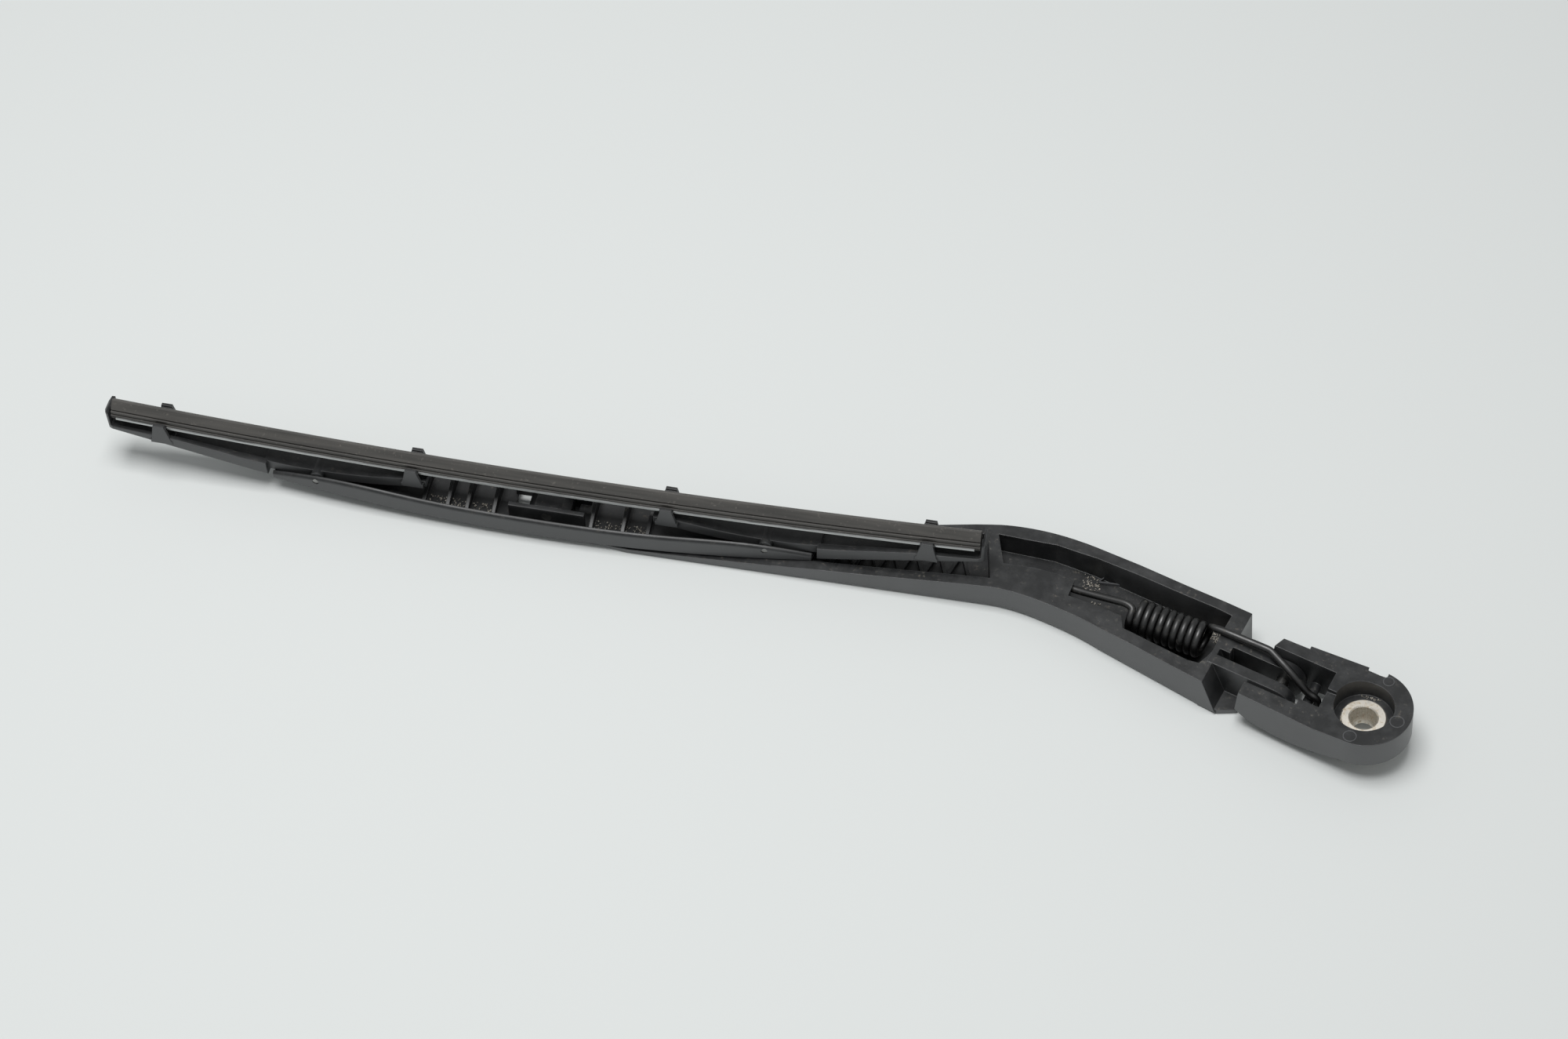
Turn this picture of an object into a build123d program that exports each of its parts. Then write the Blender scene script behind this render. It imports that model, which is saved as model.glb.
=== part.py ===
import os
from math import cos, degrees, radians, sin

from build123d import *

# A rear wiper lying on its back: the glass side is up, +Z, and the blade runs along X towards the head.
# The origin is on the spindle axis, at the face of the bush that the nut bears on.
# Heights named below are measured up from the plane that the arm rests on,
# and places in plan are measured from the middle of the boss's open face.
REST_Z = -5.25

# Running room between a pin and the hole that turns on it, and between pieces that swing past each other
PIN_PLAY = 0.05
SIDE_PLAY = 0.4

# Head: direction seen from above, heights and outline along (s) and across (t) that direction
HEAD_TURN = -18.6
HEAD_TOP = 21.0
BOSS_RADIUS = 18.2
BOSS_LEAN = 8.0
BOSS_DEPTH = 12.3
BOSS_FACE = 15.9
BODY_BOTTOM = 8.7
CHEEK_BOTTOM = 1.6
CHEEK_TOP = 19.0
CHEEK_END = -44.0
CHEEK_NEAR = -16.6
CHEEK_LEDGE = 3.0
CHEEK_STEP = -0.5
CHEEK_RISE = -14.2
FAR_TIP = -40.5
FAR_SIDE = 14.2
FAR_STEP = -28.0
FAR_STEP_OUT = 1.4
CHEEK_BELLY = [(-45.0, 9.6), (-42.0, 7.2), (-33.0, 4.3), (-21.0, 3.9), (-10.0, 5.6), (-0.5, 8.4)]
CHANNEL_END = -15.0
RECESS_RADIUS = 11.35
RECESS_DEPTH = 7.5
HUB_RADIUS = 11.5
HUB_HEIGHT = 2.6
NUT_ROOM_RADIUS = 12.0

# Spindle bush
BUSH_RADIUS = 8.7
BUSH_HEIGHT = 9.0
BORE_RADIUS = 4.1
BORE_LENGTH = 2.2
MOUTH_RADIUS = 5.2

# Hinge
HINGE_S = -33.0
HINGE_H = 8.2
HINGE_PIN_RADIUS = 2.5
HINGE_PIN_NEAR = -13.5
HINGE_PIN_FAR = 13.0
EAR_RADIUS = 8.0
NECK_MID = 0.8
NECK_HALF = 7.6
EAR_GAP_HALF = 3.1

# Arm: plan outline, rim heights along X, skin and walls
ARM_RIM = 17.0
ARM_SKIN = 2.4
ARM_EDGE_RADIUS = 1.6
ARM_NEAR_END = (-44.2, -4.3)
ARM_NEAR_BEND = [(-101.2, 21.1), (-114.4, 26.9), (-121.2, 29.2), (-133.7, 32.6), (-146.4, 34.0)]
ARM_FAR_END = (-30.7, 33.2)
ARM_FAR_BEND = [(-107.4, 60.0), (-123.4, 64.1), (-139.0, 65.4), (-151.4, 64.4), (-170.0, 61.8), (-200.0, 58.2)]
TONGUE_ROOT = -292.0
TONGUE_ROOT_HALF = 12.1
TONGUE_TIP = -335.0
TONGUE_TIP_HALF = 8.4
RIM_LINE = [
    (-20.0, 16.2), (-55.0, 16.2), (-71.0, 15.5), (-90.0, 15.2), (-102.0, 14.4), (-115.0, 13.6), (-134.0, 12.9),
    (-146.0, 12.8), (-156.0, 12.2), (-197.0, 8.6), (-217.0, 7.2), (-228.0, 6.2), (-244.0, 4.8), (-272.0, 3.2),
    (-290.0, 2.4), (-340.0, 2.4),
]
END_TOP_S = -59.2
END_BOTTOM_S = -50.4
END_FAR_TOP_S = -54.8
END_FAR_BOTTOM_S = -52.2
LIP_END_S = -43.8
LIP_HALF = 12.5
CROSS_WALL_X = -142.8
CROSS_WALL_LEAN = 3.8
CROSS_WALL = 4.0
DECK_EDGE = 46.4
TROUGH_DECK = [(-130.2, DECK_EDGE), (-120.8, 44.8), (-114.2, 42.6), (-115.8, 35.2), (-104.2, 32.1), (-94.4, 28.7)]
TROUGH_NEAR = [(-93.2, 22.9), (-67.1, 12.3), (-62.6, 11.6), (-60.0, 15.0), (-58.0, 18.3)]
TROUGH_END = [(-55.6, 26.6), (-52.4, 35.7), (-59.1, 38.5)]
TROUGH_FAR = [(-106.6, 54.7), (-123.2, 58.8)]
TROUGH_CORNER = 60.2
TRAY_NEAR_CORNER = 38.4
TRAY_FAR = [(-228.0, 52.0), (-200.0, 53.6), (-172.0, 57.0)]
TRAY_FAR_CORNER = 59.8
RECESS_END_X = -284.0
TRAY_WALL = 4.3
ZIGZAG_START = -238.0
ZIGZAG_STEP = 4.6
ZIGZAG_COUNT = 18
ZIGZAG_WALL = 1.2

# Spring: wire, closed coil and the straight legs to its two hooks
WIRE = 3.0
COIL_RADIUS = 7.5
COIL_TURNS = 11
COIL_PITCH = 3.02
COIL_FRONT = (-97.2, 2.6, 10.4)
COIL_LEAN_T = 0.03
COIL_LEAN_H = 0.07
HOOK_BAR_RADIUS = 2.0
HOOK_PLAY = 0.15
REAR_BAR_S = -21.0
REAR_BAR_H = 7.6
REAR_T = 1.2
FRONT_BAR_S = -125.5
FRONT_BAR_H = 6.4
FRONT_T = 2.4
FRONT_SLOT_TOP = 11.9
ELBOW = (-41.2, 7.3, 19.4)
OVER_EAR = (-31.0, 3.0, 18.0)

# Blade: middle, bow of the rubber and the claws' places along it
BLADE_MID = -328.5
BLADE_Y = 44.4
RAIL_H = 21.05
BOW_RADIUS = 2617.0
RUBBER_HALF = 176.7
RAIL_HALF = 174.5
RAIL_OUT = 4.5
RAIL_IN = 2.1
RAIL_THICK = 0.9
LIP_HEIGHT = 6.5
CLAW_AT = (52.0, 156.0)

# Blade frame, the main lever
FRAME_HALF = 110.6
FRAME_MID_WIDTH = 12.4
FRAME_TIP_WIDTH = 6.9
FRAME_MID_BOTTOM = 3.0
FRAME_TIP_BOTTOM = 7.4
FRAME_WALL = 1.6
FRAME_EDGE_RADIUS = 1.5
FRAME_SKIN = 1.4
FRAME_TOP_HEIGHTS = [(1.0, 10.2), (0.9, 11.9), (0.77, 13.2), (0.45, 12.2), (0.0, 11.6)]
FRAME_RIBS = (-48.0, -38.0, -30.0, -19.0, 21.0, 34.0, 44.0)
FRAME_RIBS_LOW = 40.0
FRAME_RIB = 1.5
FRAME_RIB_TOP = 11.0
FRAME_RIB_NEAR = 2.0
FRAME_RIB_TIP = 9.0

# Pivot between the arm's lug and the frame
PIVOT_U = 3.0
PIVOT_H = 9.0
BLADE_PIN_RADIUS = 2.0
LUG_BACK = -8.0
LUG_FRONT = 9.0
LUG_HALF = 4.8
LUG_TOP = 12.6
PIVOT_CHEEK = 1.8
WINDOW_ROOM = 2.0
TONGUE_WINDOW = 13.0

# Yokes, the two secondary levers: outer part with the nose, inner part nested in the frame
YOKE_PIN_U = 92.0
YOKE_PIN_H = 10.8
YOKE_PIN_RADIUS = 1.3
NOSE_U = 179.2
NOSE_RISE = 3.0
NOSE_HALF = 5.3
NOSE_BOTTOM = 21.0
NOSE_WALL = 2.0
SHOULDER_GAP = 2.2
SHOULDER_HALF = 6.8
SHOULDER_BOTTOM = 8.2
YOKE_EDGE_RADIUS = 1.2
YOKE_WALL = 1.6
YOKE_IN_HALF = 4.8
YOKE_TOP_OUT = [(-125.0, 16.9), (-134.0, 18.4), (-150.0, 20.8)]
YOKE_TOP_IN = [(-46.5, 17.0), (-56.0, 16.8), (-70.0, 14.8), (-84.0, 13.7), (-100.0, 13.6)]
YOKE_UNDER = [(-100.0, 9.4), (-85.0, 9.2), (-64.0, 10.9), (-46.5, 14.0)]
YOKE_UNDER_ROOT = 10.5
SHOULDER_TOP = 15.2
YOKE_FLOOR_DROP = 2.0
NOSE_WALL_DROP = 4.6
NOSE_WALL_U = 164.0
YOKE_BEND_U = 120.0
CLAW_OUT = 6.2
CLAW_WALL = 1.3
CLAW_RISE = 2.4
CLAW_BASE = 9.0
CLAW_TIP = 4.4
CLAW_HOOK_LOW = 0.7
CLAW_HOOK_HIGH = 1.6
CLAW_HOOK_IN = 4.1

ALONG = Vector(cos(radians(HEAD_TURN)), sin(radians(HEAD_TURN)), 0)
ACROSS = Vector(-ALONG.Y, ALONG.X, 0)
FRAME_BOTTOM_RISE = FRAME_TIP_BOTTOM - FRAME_MID_BOTTOM
FRAME_TOP = [(FRAME_HALF * share, height) for share, height in FRAME_TOP_HEIGHTS]

# The spindle leans back over the arm, and the boss's slope runs up away from it
SPINDLE = Vector(0, 0, cos(radians(BOSS_LEAN))) - ALONG * sin(radians(BOSS_LEAN))
SLOPE = Vector(0, 0, sin(radians(BOSS_LEAN))) + ALONG * cos(radians(BOSS_LEAN))
BASE = Vector(SPINDLE.X * BOSS_FACE, SPINDLE.Y * BOSS_FACE, REST_Z)


def level(h):
    """Plan plane at height h above the resting plane."""
    return Plane(origin=BASE + Vector(0, 0, h), x_dir=(1, 0, 0), z_dir=(0, 0, 1))


def head_level(h):
    """Plan plane turned along the head, at height h."""
    return Plane(origin=BASE + Vector(0, 0, h), x_dir=ALONG, z_dir=(0, 0, 1))


def hinge_side(t):
    """Upright plane along the head at the side place t: x is s, y is height, out is the near side."""
    return Plane(origin=BASE + ACROSS * t, x_dir=ALONG, z_dir=-ACROSS)


def boss_level(d):
    """Plane square to the spindle, at the distance d along it from the nut's seat."""
    return Plane(origin=SPINDLE * d, x_dir=SLOPE, z_dir=SPINDLE)


def blade_level(h):
    """Plan plane on the blade's middle, at height h."""
    return Plane(origin=BASE + Vector(BLADE_MID, BLADE_Y, h), x_dir=(1, 0, 0), z_dir=(0, 0, 1))


def blade_side(y=0.0):
    """Upright plane along the blade: x is the place along it, y is height, out is the near side."""
    return Plane(origin=BASE + Vector(BLADE_MID, BLADE_Y + y, 0), x_dir=(1, 0, 0), z_dir=(0, -1, 0))


def blade_cut(u):
    """Upright plane across the blade at the place u along it: x is across, y is height."""
    return Plane(origin=BASE + Vector(BLADE_MID + u, BLADE_Y, 0), x_dir=(0, 1, 0), z_dir=(1, 0, 0))


def head_point(s, t, h):
    """Point given along and across the head."""
    return BASE + ALONG * s + ACROSS * t + Vector(0, 0, h)


def rail_height(u):
    """Height of the rails at the place u along the blade, with the free bow."""
    return RAIL_H + u * u / (2 * BOW_RADIUS)


def frame_bottom(u):
    """Height of the frame's outside at the place u."""
    return FRAME_MID_BOTTOM + FRAME_BOTTOM_RISE * (u / FRAME_HALF) ** 2


# Head: boss and two cheeks, a channel for the arm's ears, a bar for the spring and the bush's seat
with BuildPart() as head:
    with BuildSketch(head_level(BODY_BOTTOM)):
        Polygon(
            (CHEEK_END, CHEEK_NEAR), (-0.5, 0.1 - BOSS_RADIUS), (-0.5, BOSS_RADIUS - 0.1), (-5.0, 17.4),
            (FAR_STEP, FAR_SIDE + FAR_STEP_OUT), (FAR_STEP, FAR_SIDE), (FAR_TIP + 2.0, FAR_SIDE - 0.4),
            (FAR_TIP, NECK_MID + NECK_HALF), (CHEEK_END, NECK_MID),
            align=None,
        )
    extrude(amount=HEAD_TOP - BODY_BOTTOM)
    with BuildSketch(head_level(CHEEK_BOTTOM)):
        Polygon(
            (CHEEK_END, CHEEK_NEAR), (CHEEK_STEP, 0.1 - BOSS_RADIUS), (CHEEK_STEP, 16.0),
            (FAR_STEP, FAR_SIDE), (FAR_TIP + 2.0, FAR_SIDE - 0.4), (FAR_TIP, NECK_MID + NECK_HALF),
            (CHEEK_END, NECK_MID),
            align=None,
        )
    extrude(amount=BODY_BOTTOM - CHEEK_BOTTOM)
    # The near cheek stands lower than the boss and runs up to its face
    with BuildSketch(hinge_side(NECK_MID)):
        Polygon(
            (CHEEK_END - 1, CHEEK_TOP), (CHEEK_RISE, CHEEK_TOP), (0, HEAD_TOP), (0, HEAD_TOP + 9),
            (CHEEK_END - 1, HEAD_TOP + 9),
            align=None,
        )
    extrude(amount=30, mode=Mode.SUBTRACT)
    with BuildSketch(boss_level(BOSS_FACE - BOSS_DEPTH)):
        Circle(BOSS_RADIUS)
    extrude(amount=BOSS_DEPTH)
    with BuildSketch(head_level(BODY_BOTTOM)):
        with Locations((-1.2, BOSS_RADIUS - 1.0)):
            Rectangle(7.6, 2.4)
    extrude(amount=HEAD_TOP, mode=Mode.SUBTRACT)
    # Channel for the ears, right through, and the lower ledge inside the near cheek
    channel_half = NECK_HALF + SIDE_PLAY + 0.2
    with BuildSketch(head_level(0)):
        with Locations(((CHEEK_END - 2 + CHANNEL_END) / 2, NECK_MID)):
            Rectangle(CHANNEL_END - CHEEK_END + 2, 2 * channel_half)
    extrude(amount=HEAD_TOP + 1, mode=Mode.SUBTRACT)
    ledge_mid = NECK_MID - channel_half - CHEEK_LEDGE / 2
    with BuildSketch(head_level(CHEEK_TOP - 4)):
        with Locations(((CHEEK_END - 2 + CHANNEL_END - 8) / 2, ledge_mid)):
            Rectangle(CHANNEL_END - 8 - CHEEK_END + 2, CHEEK_LEDGE)
    extrude(amount=HEAD_TOP, mode=Mode.SUBTRACT)
    # The cheeks are bellied below, from their nose up to the boss
    with BuildSketch(hinge_side(NECK_MID)):
        with BuildLine():
            Spline(*CHEEK_BELLY)
            Polyline(CHEEK_BELLY[-1], (CHEEK_BELLY[-1][0], 0), (CHEEK_BELLY[0][0], 0), CHEEK_BELLY[0])
        make_face()
    extrude(amount=40, both=True, mode=Mode.SUBTRACT)
    # Recess round the bush, the hub on the outside and the bush's seat
    with BuildSketch(boss_level(BOSS_FACE - RECESS_DEPTH)):
        Circle(RECESS_RADIUS)
    extrude(amount=BOSS_DEPTH, mode=Mode.SUBTRACT)
    with BuildSketch(boss_level(BOSS_FACE - BOSS_DEPTH - HUB_HEIGHT)):
        Circle(HUB_RADIUS)
    extrude(amount=HUB_HEIGHT)
    with BuildSketch(boss_level(0)):
        Circle(BUSH_RADIUS)
    extrude(amount=BOSS_FACE - RECESS_DEPTH, mode=Mode.SUBTRACT)
    # Room for the nut under the hub
    with BuildSketch(boss_level(BOSS_FACE - BOSS_DEPTH - HUB_HEIGHT)):
        Circle(NUT_ROOM_RADIUS)
    extrude(amount=-HEAD_TOP, mode=Mode.SUBTRACT)
    # Bar that the rear hook pulls on
    with BuildSketch(hinge_side(NECK_MID + channel_half)):
        with Locations((REAR_BAR_S, REAR_BAR_H)):
            Circle(HOOK_BAR_RADIUS)
    extrude(amount=2 * channel_half)
    # Seat of the hinge pin, blind in the near cheek
    with BuildSketch(hinge_side(FAR_SIDE + 5)):
        with Locations((HINGE_S, HINGE_H)):
            Circle(HINGE_PIN_RADIUS)
    extrude(amount=FAR_SIDE + 5 - HINGE_PIN_NEAR, mode=Mode.SUBTRACT)
head.part.label = "head"

# Bush: bore, then a taper that opens towards the glass
with BuildPart() as spindle_bush:
    with BuildSketch(Plane(origin=(0, 0, 0), x_dir=SLOPE, z_dir=SLOPE.cross(SPINDLE))):
        Polygon(
            (BORE_RADIUS, 0), (BUSH_RADIUS, 0), (BUSH_RADIUS, BUSH_HEIGHT), (MOUTH_RADIUS, BUSH_HEIGHT),
            (BORE_RADIUS, BORE_LENGTH),
            align=None,
        )
    revolve(axis=Axis((0, 0, 0), SPINDLE))
spindle_bush.part.label = "spindle_bush"

# Hinge pin
with BuildPart() as hinge_pin:
    with BuildSketch(hinge_side(HINGE_PIN_FAR)):
        with Locations((HINGE_S, HINGE_H)):
            Circle(HINGE_PIN_RADIUS)
    extrude(amount=HINGE_PIN_FAR - HINGE_PIN_NEAR)
hinge_pin.part.label = "hinge_pin"

# Arm: one moulding from the ears to the tongue under the blade
near_root = (TONGUE_ROOT, BLADE_Y - TONGUE_ROOT_HALF)
far_root = (TONGUE_ROOT, BLADE_Y + TONGUE_ROOT_HALF)
with BuildPart() as arm:
    with BuildSketch(level(0)):
        with BuildLine():
            Line(ARM_NEAR_END, ARM_NEAR_BEND[0])
            Spline(*ARM_NEAR_BEND)
            Polyline(
                ARM_NEAR_BEND[-1], near_root,
                (TONGUE_TIP, BLADE_Y - TONGUE_TIP_HALF), (TONGUE_TIP, BLADE_Y + TONGUE_TIP_HALF),
                far_root, ARM_FAR_BEND[-1],
            )
            Spline(*ARM_FAR_BEND)
            Polyline(ARM_FAR_BEND[0], ARM_FAR_END, ARM_NEAR_END)
        make_face()
    extrude(amount=ARM_RIM)
    fillet(arm.faces().sort_by(Axis.Z)[0].outer_wire().edges(), radius=ARM_EDGE_RADIUS)
    # Rim line seen from the side
    with BuildSketch(Plane(origin=BASE, x_dir=(1, 0, 0), z_dir=(0, -1, 0))):
        with BuildLine():
            Polyline(*RIM_LINE, (-340.0, 30.0), (-20.0, 30.0), RIM_LINE[0])
        make_face()
    extrude(amount=150, both=True, mode=Mode.SUBTRACT)
    # Hinge end: slanted on the near side, steeper on the far side
    with BuildSketch(hinge_side(NECK_MID)):
        Polygon(
            (END_TOP_S - 0.5, ARM_RIM + 1), (END_BOTTOM_S + 0.5, -1), (20, -1), (20, ARM_RIM + 1),
            align=None,
        )
    extrude(amount=60, mode=Mode.SUBTRACT)
    with BuildSketch(hinge_side(NECK_MID)):
        Polygon((END_FAR_TOP_S, ARM_RIM + 1), (END_FAR_BOTTOM_S, -1), (20, -1), (20, ARM_RIM + 1), align=None)
    extrude(amount=-60, mode=Mode.SUBTRACT)
    # Trough for the spring
    with BuildSketch(level(ARM_SKIN)):
        Polygon(
            (CROSS_WALL_X, DECK_EDGE), *TROUGH_DECK, *TROUGH_NEAR, *TROUGH_END, *TROUGH_FAR,
            (CROSS_WALL_X - CROSS_WALL_LEAN, TROUGH_CORNER),
            align=None,
        )
    extrude(amount=ARM_RIM, mode=Mode.SUBTRACT)
    # Tray under the blade
    with BuildSketch(level(ARM_SKIN)):
        tray_near = BLADE_Y - TONGUE_ROOT_HALF + TRAY_WALL
        Polygon(
            (CROSS_WALL_X - CROSS_WALL, TRAY_NEAR_CORNER), (RECESS_END_X, tray_near),
            (RECESS_END_X, 2 * BLADE_Y - tray_near), *TRAY_FAR,
            (CROSS_WALL_X - CROSS_WALL - CROSS_WALL_LEAN, TRAY_FAR_CORNER),
            align=None,
        )
    extrude(amount=ARM_RIM, mode=Mode.SUBTRACT)
    # Ears on the hinge, joined to the trough's end
    for side in (1, -1):
        inner = NECK_MID + side * EAR_GAP_HALF
        outer = NECK_MID + side * NECK_HALF
        with BuildSketch(hinge_side(max(inner, outer))):
            with Locations((HINGE_S, HINGE_H)):
                Circle(EAR_RADIUS)
            with Locations(((END_TOP_S - 1.5 + HINGE_S) / 2, HINGE_H)):
                Rectangle(HINGE_S - END_TOP_S + 1.5, 2 * EAR_RADIUS)
        extrude(amount=abs(outer - inner))
    # Bottom skin under the head's nose
    with BuildSketch(head_level(0)):
        Polygon(
            (END_BOTTOM_S - 8, -LIP_HALF - 4), (END_BOTTOM_S, -LIP_HALF - 4), (LIP_END_S, -LIP_HALF),
            (LIP_END_S, LIP_HALF + 2), (END_BOTTOM_S, LIP_HALF + 6), (END_BOTTOM_S - 8, LIP_HALF + 6),
            align=None,
        )
    extrude(amount=ARM_SKIN)
    # Hole for the hinge pin
    with BuildSketch(hinge_side(NECK_MID + NECK_HALF + 1)):
        with Locations((HINGE_S, HINGE_H)):
            Circle(HINGE_PIN_RADIUS + PIN_PLAY)
    extrude(amount=2 * NECK_HALF + 2, mode=Mode.SUBTRACT)
    # Slot in the deck and the bar inside it for the front hook
    with BuildSketch(head_level(ARM_SKIN)):
        with Locations((FRONT_BAR_S + 1.5, FRONT_T)):
            Rectangle(14.0, WIRE + 1.6)
    extrude(amount=FRONT_SLOT_TOP - ARM_SKIN, mode=Mode.SUBTRACT)
    with BuildSketch(hinge_side(FRONT_T + 4)):
        with Locations((FRONT_BAR_S, FRONT_BAR_H)):
            Circle(HOOK_BAR_RADIUS)
    extrude(amount=8)
    # Zigzag stiffening rib across the tray
    with BuildSketch(level(ARM_SKIN - 0.2)):
        with BuildLine() as zigzag:
            Polyline(
                *[
                    (ZIGZAG_START + i * ZIGZAG_STEP, BLADE_Y + (6.6 if i % 2 else -6.6) + 0.012 * i * i)
                    for i in range(ZIGZAG_COUNT + 1)
                ]
            )
            offset(amount=ZIGZAG_WALL / 2, side=Side.BOTH)
        make_face()
    extrude(amount=3.0)
    # Lug that carries the blade
    with BuildSketch(blade_side()):
        with BuildLine():
            Polyline(
                (PIVOT_U + LUG_BACK, ARM_SKIN - 0.5), (PIVOT_U + LUG_FRONT, ARM_SKIN - 0.5),
                (PIVOT_U + LUG_FRONT, LUG_TOP - 3), (PIVOT_U + LUG_FRONT - 3, LUG_TOP),
                (PIVOT_U + LUG_BACK + 3, LUG_TOP), (PIVOT_U + LUG_BACK, LUG_TOP - 3),
                (PIVOT_U + LUG_BACK, ARM_SKIN - 0.5),
            )
        make_face()
        with Locations((PIVOT_U, PIVOT_H)):
            Circle(BLADE_PIN_RADIUS + PIN_PLAY, mode=Mode.SUBTRACT)
    extrude(amount=LUG_HALF, both=True)
arm.part.label = "arm"

# Spring: scalloped closed coil with a straight leg and a hook at each end
coil_ring = COIL_RADIUS - WIRE / 2
coil_length = COIL_TURNS * COIL_PITCH
coil_front = head_point(*COIL_FRONT)
coil_rear_t = COIL_FRONT[1] + COIL_LEAN_T * coil_length
coil_rear_h = COIL_FRONT[2] + COIL_LEAN_H * coil_length
coil_rear_s = COIL_FRONT[0] + coil_length
coil_way = head_point(coil_rear_s, coil_rear_t, coil_rear_h) - coil_front
coil_plane = Plane(origin=coil_front, x_dir=coil_way, z_dir=coil_way.cross(Vector(0, 0, 1)))
hook_radius = HOOK_BAR_RADIUS + WIRE / 2 + HOOK_PLAY
with BuildPart() as tension_spring:
    with BuildSketch(coil_plane):
        for turn in range(COIL_TURNS):
            with Locations(((turn + 0.5) * COIL_PITCH, coil_ring)):
                Circle(COIL_PITCH / 2 + 0.04)
    revolve(axis=Axis(coil_front, coil_way))
    with BuildLine() as rear_leg:
        FilletPolyline(
            head_point(coil_rear_s - WIRE / 2, coil_rear_t + 4.0, coil_rear_h + 4.4),
            head_point(coil_rear_s + 3, coil_rear_t + 4.2, coil_rear_h + 5.2),
            head_point(*ELBOW),
            head_point(*OVER_EAR),
            head_point(REAR_BAR_S - 1.5, REAR_T, REAR_BAR_H + hook_radius + 0.6),
            head_point(REAR_BAR_S + hook_radius, REAR_T, REAR_BAR_H + hook_radius - 0.4),
            head_point(REAR_BAR_S + hook_radius, REAR_T, REAR_BAR_H - 2.0),
            radius=2.0,
        )
    with BuildSketch(Plane(rear_leg.line @ 0, z_dir=rear_leg.line % 0)):
        Circle(WIRE / 2)
    sweep(path=rear_leg.line)
    with BuildLine() as front_leg:
        FilletPolyline(
            head_point(COIL_FRONT[0] + WIRE / 2, COIL_FRONT[1] - 1.2, COIL_FRONT[2] + coil_ring - 0.4),
            head_point(COIL_FRONT[0] - 4, FRONT_T, COIL_FRONT[2] + coil_ring - 1.6),
            head_point(FRONT_BAR_S + 5, FRONT_T, FRONT_BAR_H + hook_radius + 0.2),
            head_point(FRONT_BAR_S - hook_radius, FRONT_T, FRONT_BAR_H + hook_radius),
            head_point(FRONT_BAR_S - hook_radius, FRONT_T, FRONT_BAR_H - 2.0),
            radius=2.0,
        )
    with BuildSketch(Plane(front_leg.line @ 0, z_dir=front_leg.line % 0)):
        Circle(WIRE / 2)
    sweep(path=front_leg.line)
tension_spring.part.label = "tension_spring"

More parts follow.
